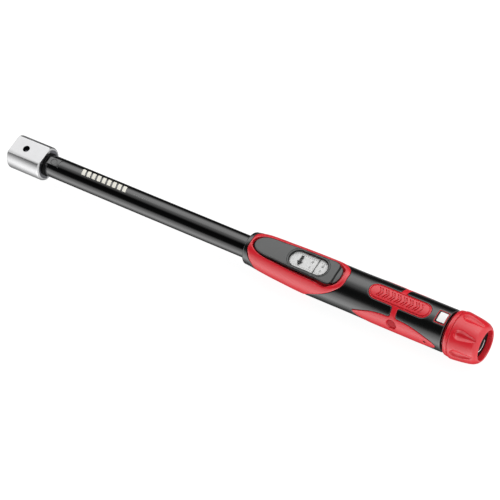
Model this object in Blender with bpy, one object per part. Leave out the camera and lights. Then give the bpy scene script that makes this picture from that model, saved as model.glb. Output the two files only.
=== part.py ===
"""Click torque wrench with a 14 x 18 mm insert-tool head. Metres, +X from head to knob, +Z out of the scale window."""
import math

import bmesh
import bpy
import numpy as np
from mathutils import Vector
from mathutils.geometry import delaunay_2d_cdt

MM = 0.001
GAP = 0.3                      # clearance between touching pieces
SEG = 24                       # segments of the small round parts

# head (socket floor at the origin)
HEAD_R, HEAD_H = 15.7, 24.7
HEAD_X0, HEAD_X1 = -28.0, 8.0
SOCKET_W, SOCKET_H = 18.0, 14.0
LATCH_X, LATCH_R = -13.0, 3.3
PIVOT_X, PIVOT_R = 17.5, 3.0
# tube
TUBE_X0, TUBE_X1 = 10.7, 406.0
TUBE_R, BORE_R = 10.0, 8.0
MILL_Z, MILL_X1 = 9.4, 23.5
# click mechanism
STRUT_X1, STRUT_X2, STRUT_R = 84.3, 92.3, 2.5
PLUNGER_X0, PLUNGER_X1, PLUNGER_R = 93.8, 118.0, 7.65
SPRING_X0, SPRING_X1 = 118.3, 223.7
SPRING_R, WIRE_R, SPRING_TURNS = 6.35, 1.05, 12
SEAT_X0, NUT_X0, NUT_X1 = 224.0, 228.3, 246.0
FOOT_X0, FOOT_X1 = 238.6, 244.4      # foot of the scale arm in the nut
# adjusting screw
THREAD_R, ROOT_R, PITCH = 4.0, 3.45, 2.0
THREAD_X0, THREAD_X1 = 230.0, 254.0
FLANGE_X0, FLANGE_X1 = 386.0, 389.0
HEX_X0, HEX_X1, HEX_AF = 408.0, 439.4, 8.0
# handle
CORE_X1, CORE_BORE, UNDER_R = 420.0, 10.35, 15.0
SLEEVE_IN = UNDER_R + GAP
CORE_R = [(226, 14.3), (229.7, 14.6), (235, 15.2), (241, 16.0), (247, 16.5), (253, 16.9), (262, 17.3),
          (274, 17.9), (286, 18.3), (300, 18.5), (330, 18.45)]
CORE_Z = [(226, 1.0), (229.7, 1.5), (235, 2.0), (241, 2.1), (247, 1.8), (253, 1.4), (262, 0.9), (274, 0.4),
          (286, 0.1), (300, 0.0)]
SLEEVE_R = [(284, 18.1), (313, 18.1), (334, 18.05), (352, 18.3), (372, 18.45), (418.6, 18.45), (420, 17.9)]
RED_EDGE = [(0, 325.8), (15, 325.6), (30, 323.6), (41, 320.2), (50, 316.9), (59, 312.9), (75, 304.5),
            (89, 296.0), (100, 292.3), (114, 289.0), (130, 286.8), (150, 285.3), (180, 285.0)]
COLLAR_EDGE = [(0, 231.4), (35, 231.4), (48, 232.9), (64, 234.7), (80, 237.3), (102, 239.5), (130, 241.0),
               (180, 242.0)]
COLLAR_X0 = 226.8
ISLAND_R = 18.55
BADGE_X, BADGE_HALF, BADGE_ARC = 375.6, 28.4, 7.4
BRIDGE_X, BRIDGE_HALF = 375.0, 2.4
FAR_SHIFT = 6.0                     # the far leaf starts this many degrees lower
LEAF = [(338.0, 78.0, 84.0), (346.0, 68.0, 100.0), (354.0, 59.0, 115.0), (362.0, 54.0, 124.0),
        (371.0, 52.5, 128.0), (384.0, 52.0, 128.0), (391.5, 55.0, 124.5), (399.0, 61.0, 116.0),
        (407.0, 70.0, 107.0), (413.0, 79.0, 98.0), (415.0, 86.0, 92.0)]
DIMPLE_X, DIMPLE_A = 375.2, 71.0
# bezel, window and scale
BEZEL_HALF = [(235.0, 0.0), (235.5, 2.4), (237.0, 4.6), (239.5, 6.5), (243.0, 7.9), (248.0, 8.7), (260.0, 9.2),
              (276.0, 9.5), (300.0, 9.9), (310.5, 10.1), (313.0, 9.5), (314.2, 8.0), (314.5, 0.0)]
TAIL_HALF = [(312.0, 9.3), (315.0, 8.4), (317.5, 6.6), (319.0, 4.0), (319.6, 0.0)]
BEZEL_TOP = [(235, 16.3), (242, 17.0), (262, 17.6), (302, 17.7), (314.5, 16.9)]
BEZEL_BOTTOM = 14.6
WINDOW_X0, WINDOW_X1, WINDOW_HALF = 270.5, 305.5, 6.9
POCKET_X0, POCKET_X1, POCKET_HALF, POCKET_Z = 257.5, 318.0, 7.5, 15.7
PLATE_X0, PLATE_X1, PLATE_HALF = 264.5, 311.5, 7.2
# knob
KNOB = [(422.3, 18.9), (423.2, 19.4), (425.7, 19.75), (426.2, 19.0), (426.6, 19.0), (427.0, 20.1), (428.3, 20.4),
        (430.5, 20.3), (433.5, 20.0), (437.0, 19.6), (441.0, 19.0), (445.0, 18.2), (448.3, 17.0), (450.5, 15.2), (451.4, 13.6),
        (450.6, 13.0)]
FLUTES, FLUTE_DEPTH = 7, 1.2
LOCK_X0, LOCK_X1 = 420.4, 429.5
HUB_X0, HUB_X1 = 424.0, 441.5

for item in list(bpy.data.objects):
    bpy.data.objects.remove(item, do_unlink=True)


def material(name, color, metal, rough, alpha=1.0):
    mat = bpy.data.materials.new(name)
    mat.use_nodes = True
    node = mat.node_tree.nodes["Principled BSDF"]
    node.inputs["Base Color"].default_value = (*color, 1.0)
    node.inputs["Metallic"].default_value = metal
    node.inputs["Roughness"].default_value = rough
    node.inputs["Alpha"].default_value = alpha
    return mat


def lookup(table, x):
    return float(np.interp(x, [row[0] for row in table], [row[1] for row in table]))


def build(name, verts, faces, look=None, smooth=True):
    """Make one object from points in millimetres."""
    mesh = bpy.data.meshes.new(name)
    mesh.from_pydata([Vector(v) * MM for v in verts], [], faces)
    bm = bmesh.new()
    bm.from_mesh(mesh)
    bmesh.ops.remove_doubles(bm, verts=bm.verts, dist=1e-7)
    bmesh.ops.recalc_face_normals(bm, faces=bm.faces)
    bm.to_mesh(mesh)
    bm.free()
    obj = bpy.data.objects.new(name, mesh)
    bpy.context.scene.collection.objects.link(obj)
    if look:
        mesh.materials.append(material(name, *look))
    if smooth:
        for poly in mesh.polygons:
            poly.use_smooth = True
    return obj


def combine(obj, others, operation):
    """Apply an exact Boolean with each of the other objects, then drop them."""
    for other in others:
        mod = obj.modifiers.new("bool", "BOOLEAN")
        mod.operation, mod.solver, mod.object = operation, "EXACT", other
        graph = bpy.context.evaluated_depsgraph_get()
        mesh = bpy.data.meshes.new_from_object(obj.evaluated_get(graph), depsgraph=graph)
        obj.modifiers.clear()
        look = obj.data.materials[0] if obj.data.materials else None
        obj.data = mesh
        mesh.materials.clear()
        if look:
            mesh.materials.append(look)
        bpy.data.objects.remove(other, do_unlink=True)
    return obj


def cut(obj, *others):
    return combine(obj, others, "DIFFERENCE")


def join(obj, *others):
    return combine(obj, others, "UNION")


def polar(x, radius, angle, zc=0.0):
    """Point on a circle about X; angle 0 is +Z, 90 is +Y."""
    return (x, radius * math.sin(math.radians(angle)), zc + radius * math.cos(math.radians(angle)))


def stitch(rows, closed_rows, count):
    """Faces between rows of `count` points; each row is closed round X."""
    faces = []
    pairs = len(rows) if closed_rows else len(rows) - 1
    for i in range(pairs):
        a, b = i * count, (i + 1) % len(rows) * count
        for j in range(count):
            k = (j + 1) % count
            faces.append((a + j, a + k, b + k, b + j))
    return faces


def revolve(name, profile, look=None, seg=SEG, center=(0.0, 0.0), phase=0.0):
    """Turn a closed (x, r) loop about the X axis; a loop that starts and ends on the axis makes a solid."""
    solid = profile[0][1] == 0.0
    verts = []
    for x, r in profile:
        for j in range(seg):
            p = polar(x, r, phase + 360.0 * j / seg)
            verts.append((p[0], p[1] + center[0], p[2] + center[1]))
    return build(name, verts, stitch(profile, not solid, seg), look)


def ring(name, x0, x1, inner, outer, look, seg=SEG, bevel=0.3):
    b = min(bevel, (x1 - x0) / 3, (outer - inner) / 3)
    profile = [(x0, inner), (x0, outer - b), (x0 + b, outer), (x1 - b, outer), (x1, outer - b), (x1, inner)]
    return revolve(name, profile, look, seg)


def rod(name, x0, x1, radius, look=None, seg=SEG, bevel=0.0):
    b = bevel
    profile = [(x0, 0.0), (x0, radius - b), (x0 + b, radius), (x1 - b, radius), (x1, radius - b), (x1, 0.0)]
    if not b:
        profile = [(x0, 0.0), (x0, radius), (x1, radius), (x1, 0.0)]
    return revolve(name, profile, look, seg)


def prism(name, outline, z0, z1, look=None, smooth=False):
    """Extrude an (x, y) outline from z0 to z1; either may be a function of x."""
    low = z0 if callable(z0) else lambda x: z0
    high = z1 if callable(z1) else lambda x: z1
    n = len(outline)
    verts = [(x, y, low(x)) for x, y in outline] + [(x, y, high(x)) for x, y in outline]
    faces = [(i, (i + 1) % n, n + (i + 1) % n, n + i) for i in range(n)]
    faces += [tuple(range(n)), tuple(range(n, 2 * n))]
    return build(name, verts, faces, look, smooth)


def box(name, low, high, look=None):
    (x0, y0, z0), (x1, y1, z1) = low, high
    return prism(name, [(x0, y0), (x1, y0), (x1, y1), (x0, y1)], z0, z1, look)


def disc(cx, radius, seg, cy=0.0):
    return [(cx + radius * math.cos(2 * math.pi * j / seg), cy + radius * math.sin(2 * math.pi * j / seg))
            for j in range(seg)]


def stadium(x0, x1, half, seg=8):
    """Outline of a slot with round ends between x0 and x1."""
    points = []
    for center, start in ((x1 - half, -90), (x0 + half, 90)):
        for j in range(seg + 1):
            a = math.radians(start + 180.0 * j / seg)
            points.append((center + half * math.cos(a), half * math.sin(a)))
    return points


def mirrored(table):
    """Closed outline from (x, half width) rows."""
    return list(table) + [(x, -h) for x, h in reversed(table) if h > 0]


def offset(outline, amount):
    """Move a closed outline outwards."""
    area = sum(a[0] * b[1] - b[0] * a[1] for a, b in zip(outline, outline[1:] + outline[:1]))
    sign = 1.0 if area > 0 else -1.0
    moved = []
    for i, p in enumerate(outline):
        a, b = Vector(outline[i - 1]), Vector(outline[(i + 1) % len(outline)])
        p = Vector(p)
        n1 = Vector(((p - a).y, -(p - a).x)).normalized()
        n2 = Vector(((b - p).y, -(b - p).x)).normalized()
        n = n1 + n2
        n *= 1.0 / max(n.dot(n1), 0.3)
        moved.append(tuple(p + sign * amount * n))
    return moved


def refine(outline, step_x, step_y):
    """Split the long edges of an outline."""
    points = []
    for (ax, ay), (bx, by) in zip(outline, outline[1:] + outline[:1]):
        n = max(1, math.ceil(abs(bx - ax) / step_x), math.ceil(abs(by - ay) / step_y))
        points += [(ax + (bx - ax) * i / n, ay + (by - ay) * i / n) for i in range(n)]
    return points


def fill(outline, step_x, step_y):
    """Triangulate an outline with inner points on a grid, as points and faces."""
    points = [Vector(p) for p in outline]
    n = len(points)
    lo = np.min(outline, axis=0)
    hi = np.max(outline, axis=0)
    tight = offset(outline, -0.9)
    ring2 = [tight[i - 1] + tight[i] for i in range(n)]

    def inside(x, y):
        odd = False
        for ax, ay, bx, by in ring2:
            if (ay > y) != (by > y) and x < ax + (y - ay) * (bx - ax) / (by - ay):
                odd = not odd
        return odd

    for y in np.arange(math.ceil(lo[1] / step_y) * step_y, hi[1], step_y):
        for x in np.arange(lo[0] + step_x / 2, hi[0], step_x):
            if inside(x, y):
                points.append(Vector((x, y)))
    edges = [(i, (i + 1) % n) for i in range(n)]
    verts, _, faces, *_ = delaunay_2d_cdt(points, edges, [tuple(range(n))], 1, 1e-6)
    return [tuple(v) for v in verts], [tuple(f) for f in faces], n


def wrapped(name, outline, inner, outer, look=None, step=(12.0, 9.0)):
    """Panel over the handle: outline in (x, degrees), between two radii."""
    points, faces, rim = fill(outline, *step)
    n = len(points)
    verts = [polar(x, outer, a) for x, a in points] + [polar(x, inner, a) for x, a in points]
    solid = list(faces) + [tuple(n + i for i in reversed(f)) for f in faces]
    solid += [(i, (i + 1) % rim, n + (i + 1) % rim, n + i) for i in range(rim)]
    return build(name, verts, solid, look)


def to_degrees(outline, radius):
    return [(x, math.degrees(y / radius)) for x, y in outline]


RED = ((0.62, 0.02, 0.03), 0.0, 0.35)
BLACK = ((0.02, 0.02, 0.021), 0.0, 0.6)
STEEL = ((0.55, 0.56, 0.58), 1.0, 0.3)
DARK_STEEL = ((0.12, 0.12, 0.13), 1.0, 0.4)

# ---- head with its lever ----
head = revolve("head", [(HEAD_X0, 0.0), (HEAD_X0, HEAD_R - 0.6), (HEAD_X0 + 0.6, HEAD_R), (HEAD_X1 - 0.6, HEAD_R),
                        (HEAD_X1, HEAD_R - 0.6), (HEAD_X1, 6.6), (12.0, 6.6), (27.0, 6.6), (34.0, 5.0), (34.0, 0.0)],
               ((0.78, 0.79, 0.8), 1.0, 0.25), 40)
cut(head, box("c", (-30, -20, HEAD_H / 2), (HEAD_X1 + 0.5, 20, 20)), box("c", (-30, -20, -20),
                                                                       (HEAD_X1 + 0.5, 20, -HEAD_H / 2)))
LEVER = [(30.0, 4.4), (34.0, 4.2), (60.0, 3.8), (82.8, 3.6)]
tail = prism("t", [(x, -h) for x, h in LEVER] + [(x, h) for x, h in reversed(LEVER)], -3.8, 3.8)
join(head, tail)
cut(head, box("c", (HEAD_X0 - 1, -SOCKET_W / 2, -SOCKET_H / 2), (0, SOCKET_W / 2, SOCKET_H / 2)),
    prism("c", disc(LATCH_X, LATCH_R, 20), -20, 20),
    prism("c", disc(PIVOT_X, PIVOT_R + 0.1, 20), -10, 10),
    prism("c", disc(STRUT_X1, STRUT_R + GAP, 20), -5, 5))

# ---- tube with everything that stays still ----
tube = revolve("tube", [(TUBE_X0, BORE_R + 0.4), (TUBE_X0, TUBE_R - 0.4), (TUBE_X0 + 0.4, TUBE_R),
                        (TUBE_X1 - 0.4, TUBE_R), (TUBE_X1, TUBE_R - 0.4), (TUBE_X1, BORE_R), (403.7, BORE_R),
                        (403.7, BORE_R + 0.8), (402.3, BORE_R + 0.8), (402.3, BORE_R), (TUBE_X0 + 0.4, BORE_R)],
               ((0.03, 0.03, 0.032), 0.6, 0.3), 40)
cut(tube, box("c", (TUBE_X0 - 1, -12, MILL_Z), (MILL_X1, 12, 12)), box("c", (TUBE_X0 - 1, -12, -12),
                                                                     (MILL_X1, 12, -MILL_Z)),
    prism("c", disc(PIVOT_X, PIVOT_R + GAP, 20), -12, 12),
    prism("c", stadium(FOOT_X0 - 7.4, FOOT_X1 + 6.4, 2.1, 6), 0, 12))
verts = [(PIVOT_X + p[0], p[1], z) for z, r in ((-9.3, 2.7), (-9.0, PIVOT_R), (9.0, PIVOT_R), (9.3, 2.7))
         for p in disc(0.0, r, 20)]
build("pivot_pin", verts, stitch(range(4), False, 20) + [tuple(range(20)), tuple(range(60, 80))], DARK_STEEL)
ring("dust_seal", 8.9, 10.4, 7.3, 10.8, BLACK, 32, 0.4)

turns, points = SPRING_TURNS, []
WIRE_STEPS = 12
steps = turns * WIRE_STEPS
for i in range(steps + 1):
    t = i / WIRE_STEPS
    ends = min(t, 1.0) + max(t - turns + 1.0, 0.0)
    near = 2 * WIRE_R + 0.3
    middle = (SPRING_X1 - SPRING_X0 - 2 * WIRE_R - 2 * near) / (turns - 2)
    x = SPRING_X0 + WIRE_R + near * ends + middle * (t - ends)
    for k in range(5):
        a = math.radians(72 * k)
        points.append(polar(x + WIRE_R * math.sin(a), SPRING_R + WIRE_R * math.cos(a), 360.0 * t))
build("main_spring", points, stitch(range(steps + 1), False, 5) + [tuple(range(5)),
      tuple(range(5 * steps, 5 * steps + 5))], DARK_STEEL)

ring("thrust_washer_front", 389.3, 390.5, 4.2, 7.5, STEEL)
cage = ring("thrust_ball_cage", 391.3, 392.7, 4.4, 7.4, ((0.6, 0.45, 0.15), 1.0, 0.35), 24, 0.1)
for j in range(6):
    c = polar(392.0, 5.9, 60.0 * j)
    join(cage, revolve("b", [(392.0 - 1.15 * math.cos(math.radians(a)), 1.15 * math.sin(math.radians(a)))
                             for a in (0, 45, 90, 135)] + [(393.15, 0.0)], None, 6, (c[1], c[2])))
ring("thrust_washer_rear", 393.5, 394.7, 4.2, 7.5, STEEL)
ring("end_bush", 395.0, 402.1, 3.9, 7.7, ((0.65, 0.5, 0.2), 1.0, 0.35))
retaining = ring("retaining_ring", 402.5, 403.5, 6.6, 8.45, DARK_STEEL, 24, 0.1)
cut(retaining, box("c", (402, -1.5, 0), (404, 1.5, 12)))

# ---- handle ----
ANGLES = [9.0 * j for j in range(40)]


def side(angle):
    return angle if angle <= 180 else 360 - angle


def loft(name, rows, look, closed=True):
    """Rows of (x function, radius function, centre function) of the angle, stitched round X."""
    verts = []
    for fx, fr, fz in rows:
        for a in ANGLES:
            x = fx(side(a))
            verts.append(polar(x, fr(x), a, fz(x)))
    return build(name, verts, stitch(rows, closed, len(ANGLES)), look)


def zero(_):
    return 0.0


def core_z(x):
    return lookup(CORE_Z, x)


def core_r(x):
    return lookup(CORE_R, x)


def between(start, end, share):
    return lambda a: start(a) + (end(a) - start(a)) * share


def red_end(a):
    return lookup(RED_EDGE, a)


def collar_end(a):
    return lookup(COLLAR_EDGE, a)


def behind(edge):
    """The edge moved back by the gap, measured square to the edge."""
    arc = math.radians(4.0) * 17.0
    return lambda a: edge(a) + GAP * math.hypot(1.0, (edge(min(a + 2, 180)) - edge(max(a - 2, 0))) / arc)


core_start, sleeve_start = behind(collar_end), behind(red_end)
core_rows = [(core_start, lambda x: CORE_BORE, zero)]
for share in (0.0, 0.08, 0.18, 0.32, 0.5, 0.7, 0.985):
    core_rows.append((between(core_start, red_end, share), core_r, core_z))
core_rows += [(red_end, lambda x: core_r(x) - 0.35, core_z), (red_end, lambda x: UNDER_R, zero),
              (lambda a: CORE_X1, lambda x: UNDER_R, zero), (lambda a: CORE_X1, lambda x: CORE_BORE, zero)]
core = loft("handle_core", core_rows, RED)


def island_outline():
    """Badge, two bridges and two side leaves as one outline in (x, degrees)."""
    edge = math.degrees(BADGE_ARC / ISLAND_R)
    x0, x1 = BRIDGE_X - BRIDGE_HALF, BRIDGE_X + BRIDGE_HALF
    end = BADGE_HALF - BADGE_ARC
    right = [(BADGE_X + end + BADGE_ARC * math.cos(math.radians(a)), edge * math.sin(math.radians(a)))
             for a in range(-90, 91, 15)]
    left = [(2 * BADGE_X - x, -a) for x, a in right]

    def leaf(sign):
        shift = FAR_SHIFT if sign > 0 else 0.0
        upper = [(x, sign * (a + shift * min(1.0, (b - a) / 20.0))) for x, a, b in LEAF]
        lower = [(x, sign * a) for x, _, a in LEAF]
        return upper, lower

    outline = right + [(x1 + 0.6, edge), (x1, edge + 2.0), (x1, 50.0 + FAR_SHIFT), (x1 + 1.0, 52.1 + FAR_SHIFT)]
    upper, lower = leaf(1.0)
    outline += [p for p in upper if p[0] > x1 + 2] + lower[::-1] + [p for p in upper if p[0] < x0 - 0.5]
    outline += [(x0 - 0.6, 52.3 + FAR_SHIFT), (x0, 50.0 + FAR_SHIFT), (x0, edge + 2.0), (x0 - 0.6, edge)]
    outline += left + [(x0 - 0.6, -edge), (x0, -edge - 2.0), (x0, -50.0), (x0 - 0.6, -52.3)]
    upper, lower = leaf(-1.0)
    outline += [p for p in upper if p[0] < x0 - 0.5][::-1] + lower + [p for p in upper if p[0] > x1 + 2][::-1]
    outline += [(x1 + 1.0, -52.1), (x1, -50.0), (x1, -edge - 2.0), (x1 + 0.6, -edge)]
    return refine(outline, 9.0, 7.5)


def grow(outline, amount):
    """Offset an (x, degrees) outline by a length."""
    scale = math.radians(1.0) * ISLAND_R
    return [(x, y / scale) for x, y in offset([(x, a * scale) for x, a in outline], amount)]


island = island_outline()
join(core, wrapped("islands", island, UNDER_R - 0.6, ISLAND_R))
for sign in (1, -1):
    c = polar(DIMPLE_X, ISLAND_R + 7.0, sign * DIMPLE_A)
    cut(core, revolve("c", [(DIMPLE_X - 8 * math.cos(math.radians(a)), 8 * math.sin(math.radians(a)))
                            for a in range(0, 181, 20)], None, 18, (c[1], c[2])))

bezel_outline = mirrored(BEZEL_HALF)
tail_outline = mirrored([(305.0, 10.0)] + TAIL_HALF)
whole = mirrored([row for row in BEZEL_HALF if row[0] < 311] + [(312.5, 9.7)] + TAIL_HALF[1:])
pocket = [(POCKET_X0, -POCKET_HALF), (POCKET_X1, -POCKET_HALF), (POCKET_X1, POCKET_HALF), (POCKET_X0, POCKET_HALF)]
cut(core, prism("c", offset(whole, GAP), BEZEL_BOTTOM - GAP, 25.0), prism("c", pocket, 0.0, POCKET_Z),
    box("c", (226.0, -3.2, 0.0), (POCKET_X0 + 1, 3.2, 12.6)))
hole = rod("c", 0.0, 12.0, 1.25, None, 12)
hole.rotation_euler = (0.0, -math.pi / 2, 0.0)
SCREW_A = math.radians(-87.0)


def aim(obj, x, start, angle):
    """Turn a piece built along +X so that it points outwards from the axis at x."""
    out = Vector((0.0, math.sin(angle), math.cos(angle)))
    rot = Vector((1, 0, 0)).rotation_difference(out).to_matrix().to_4x4()
    rot.translation = (Vector((x, 0, 0)) + out * start) * MM
    obj.rotation_euler = (0, 0, 0)
    obj.data.transform(rot)
    return obj


cut(core, aim(hole, 405.4, 9.0, SCREW_A))
aim(rod("core_set_screw", 0.0, 7.4, 0.95, DARK_STEEL, 12, 0.2), 405.4, 10.6, SCREW_A)

collar_rows = [(lambda a: COLLAR_X0, lambda x: CORE_BORE, zero), (lambda a: COLLAR_X0, lambda x: 12.9, zero),
               (lambda a: COLLAR_X0 + 1.0, lambda x: 13.9, lambda x: 0.6)]
for share in (0.5, 1.0):
    collar_rows.append((between(lambda a: COLLAR_X0 + 1.0, collar_end, share), core_r, core_z))
collar_rows.append((collar_end, lambda x: CORE_BORE, zero))
loft("front_collar", collar_rows, BLACK)

sleeve_rows = []
for share in (0.0, 0.3, 0.55, 0.988, 1.0):
    sleeve_rows.append((between(sleeve_start, lambda a: CORE_X1, share),
                        lambda x: lookup(SLEEVE_R, x), zero))
sleeve_rows += [(lambda a: CORE_X1, lambda x: SLEEVE_IN, zero), (sleeve_start, lambda x: SLEEVE_IN, zero)]
sleeve = loft("grip_sleeve", sleeve_rows, BLACK)
cut(sleeve, wrapped("c", grow(island, GAP + 0.1), SLEEVE_IN - 1.5, ISLAND_R + 2.0))
label = refine([(409.4, -18.0), (418.0, -18.0), (418.0, 18.0), (409.4, 18.0)], 9.0, 9.0)
cut(sleeve, wrapped("c", grow(label, GAP), 17.7, 20.0))
wrapped("label_plate", label, 18.0, 18.6, ((0.85, 0.85, 0.84), 0.0, 0.4))

# ---- bezel, lens and gasket ----
def bezel_top(x):
    return lookup(BEZEL_TOP, x)


n = len(bezel_outline)
inner = offset(bezel_outline, -0.7)
verts = [(x, y, BEZEL_BOTTOM) for x, y in bezel_outline]
verts += [(x, y, bezel_top(x) - 0.5) for x, y in bezel_outline]
verts += [(x, y, bezel_top(x)) for x, y in inner]
bezel = build("bezel", verts, stitch(range(3), False, n) + [tuple(range(n)), tuple(range(2 * n, 3 * n))],
              ((0.11, 0.12, 0.115), 0.0, 0.45), False)
join(bezel, prism("t", tail_outline, BEZEL_BOTTOM, lambda x: 16.6 - max(x - 314.0, 0.0) * 0.06))
cut(bezel, prism("c", pocket, 0.0, POCKET_Z),
    prism("c", stadium(WINDOW_X0 - 1.2, WINDOW_X1 + 1.2, WINDOW_HALF + 1.2), 15.0, 20.0))
outer = stadium(WINDOW_X0 - 0.9, WINDOW_X1 + 0.9, WINDOW_HALF + 0.9)
inner = stadium(WINDOW_X0 + 0.1, WINDOW_X1 - 0.1, WINDOW_HALF - 0.1)
m = len(outer)
build("lens_gasket", [(x, y, z) for z in (16.0, 17.3) for loop in (outer, inner) for x, y in loop],
      [(i + s, (i + 1) % m + s, (i + 1) % m + t, i + t)
       for s, t in ((0, m), (m, 3 * m), (3 * m, 2 * m), (2 * m, 0)) for i in range(m)], BLACK, False)
prism("window_lens", stadium(WINDOW_X0 + GAP + 0.1, WINDOW_X1 - GAP - 0.1, WINDOW_HALF - GAP - 0.1), 16.1, 17.0,
      ((0.9, 0.95, 0.95), 0.0, 0.05, 0.35))

# ---- click strut and plunger ----
prism("click_strut", [(x, y) for x, y in stadium(STRUT_X1 - STRUT_R, STRUT_X2 + STRUT_R, STRUT_R, 8)], -3.0, 3.0,
      STEEL)
plunger = revolve("plunger", [(PLUNGER_X0, 0.0), (PLUNGER_X0, PLUNGER_R - 1), (PLUNGER_X0 + 1, PLUNGER_R),
                              (PLUNGER_X1, PLUNGER_R), (PLUNGER_X1, 4.8), (124.0, 4.6), (124.5, 4.1), (124.5, 0.0)],
                  STEEL)
cut(plunger, prism("c", disc(STRUT_X2, STRUT_R + GAP, 20), -9, 9))

# ---- load nut, seat, scale arm and plate ----
revolve("spring_seat", [(SEAT_X0 - 4.5, 4.25), (SEAT_X0 - 4.5, 4.8), (SEAT_X0, 4.9), (SEAT_X0, 7.5),
                        (NUT_X0 - GAP, 7.5), (NUT_X0 - GAP, 4.25)], STEEL)
nut = ring("load_nut", NUT_X0, NUT_X1, THREAD_R + 0.25, 7.6, DARK_STEEL, 24, 0.5)
cut(nut, box("c", (FOOT_X0 - GAP, -2.1, 5.9), (FOOT_X1 + GAP, 2.1, 9.0)))
arm = box("scale_arm", (FOOT_X0, -1.8, 6.2), (FOOT_X1, 1.8, 11.4), STEEL)
join(arm, box("t", (FOOT_X0 + 0.1, -2.7, 10.8), (302.0, 2.7, 11.9)), box("t", (274.0, -4.0, 11.4), (302.0, 4.0, 14.0)))
prism("scale_plate", [(PLATE_X0, -PLATE_HALF), (PLATE_X1, -PLATE_HALF), (PLATE_X1, PLATE_HALF),
                      (PLATE_X0, PLATE_HALF)], 14.3, 15.2, ((0.85, 0.86, 0.86), 0.0, 0.4))

# ---- adjusting screw ----
THREAD_SEG, THREAD_STEP = 10, PITCH / 4
rows = [(THREAD_X0 - 0.8, None, 2.8)]
count = int((THREAD_X1 - THREAD_X0) / THREAD_STEP)
rows += [(THREAD_X0 + THREAD_STEP * i, i, 0.0) for i in range(count + 1)]
rows += [(x, None, r) for x, r in ((THREAD_X1 + 0.6, ROOT_R), (THREAD_X1 + 1.2, 3.6), (FLANGE_X0, 3.6),
                                   (FLANGE_X0, 7.2), (FLANGE_X1, 7.2), (FLANGE_X1, 3.6), (HEX_X0 + 1.0, 3.6))]
verts = []
for x, index, r in rows:
    for j in range(THREAD_SEG):
        if index is not None:
            wave = abs(((x / PITCH - j / THREAD_SEG) % 1.0) * 2 - 1)
            r = ROOT_R + (THREAD_R - ROOT_R) * wave
        verts.append(polar(x, r, 360.0 * j / THREAD_SEG))
total = len(rows)
screw = build("adjusting_screw", verts, stitch(rows, False, THREAD_SEG) + [tuple(range(THREAD_SEG)), tuple(
    range(THREAD_SEG * (total - 1), THREAD_SEG * total))], STEEL)
hexagon = HEX_AF / math.sqrt(3)
join(screw, revolve("h", [(HEX_X0, 0), (HEX_X0, hexagon), (HEX_X1, hexagon), (HEX_X1, 2.3), (HEX_X1 - 10, 2.3),
                          (HEX_X1 - 10, 0)], None, 6))
ring("stop_washer", HEX_X1 + GAP, HEX_X1 + 1.4, 2.4, 5.6, STEEL, 20, 0.2)
revolve("stop_screw", [(431.0, 0.0), (431.0, 1.9), (441.0, 1.9), (441.0, 3.6), (441.8, 3.4), (442.1, 2.6),
                       (442.1, 1.6), (441.5, 1.3), (441.5, 0.0)], DARK_STEEL, 12)

# ---- knob ----
KNOB_SEG = 56
profile = []
for x, r in KNOB:
    profile.append((x, r, max(0.0, min((x - 429.8) / 3.0, 1.0, (450.9 - x) / 3.0))))
profile += [(446.7 + 0.4, 12.9, 0.0), (442.4, 12.9, 0.0), (442.4, 9.8, 0.0), (430.5, 9.8, 0.0), (430.5, 13.9, 0.0),
            (422.3, 13.9, 0.0)]
verts = []
for x, r, depth in profile:
    for j in range(KNOB_SEG):
        phase = (j * FLUTES / KNOB_SEG + 0.5) % 1.0 - 0.5
        width = 0.15 + 0.12 * depth
        scoop = max(0.0, 1.0 - (phase / width) ** 2)
        verts.append(polar(x, r - FLUTE_DEPTH * depth * scoop, 360.0 * (j + KNOB_SEG / FLUTES / 2) / KNOB_SEG))
build("knob", verts, stitch(profile, True, KNOB_SEG), RED)
rod("knob_cap", 442.8, 446.8, 12.5, BLACK, 36, 0.5)
hub = revolve("knob_hub", [(HUB_X0, 0.0), (HUB_X0, 9.2), (HUB_X0 + 0.3, 9.5), (HUB_X1 - 0.3, 9.5), (HUB_X1, 9.2),
                           (HUB_X1, 6.2), (434.4, 6.2), (434.4, 0.0)], STEEL)
cut(hub, revolve("c", [(HUB_X0 - 1, 0.0), (HUB_X0 - 1, hexagon + GAP), (436.0, hexagon + GAP), (436.0, 0.0)], None, 6))
verts = []
for x, r, tooth in ((LOCK_X0, CORE_BORE, 0.0), (LOCK_X0, 11.8, 0.0), (425.0, 11.8, 0.0), (425.0, 11.8, 0.8),
                    (LOCK_X1, 11.8, 0.8), (LOCK_X1, CORE_BORE, 0.0)):
    verts += [polar(x, r + tooth * (j % 2), 9.0 * j) for j in range(40)]
build("lock_ring", verts, stitch(range(6), True, 40), DARK_STEEL, False)
ring("knob_o_ring", 428.7, 430.2, 13.0, 13.6, BLACK, 32, 0.2)
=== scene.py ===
"""Looks of the click torque wrench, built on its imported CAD. Tables are in mm, meshes in metres."""

import math
from collections import Counter

import bmesh
import bpy
import numpy as np
from mathutils import Matrix, Vector
from mathutils.geometry import delaunay_2d_cdt


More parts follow.
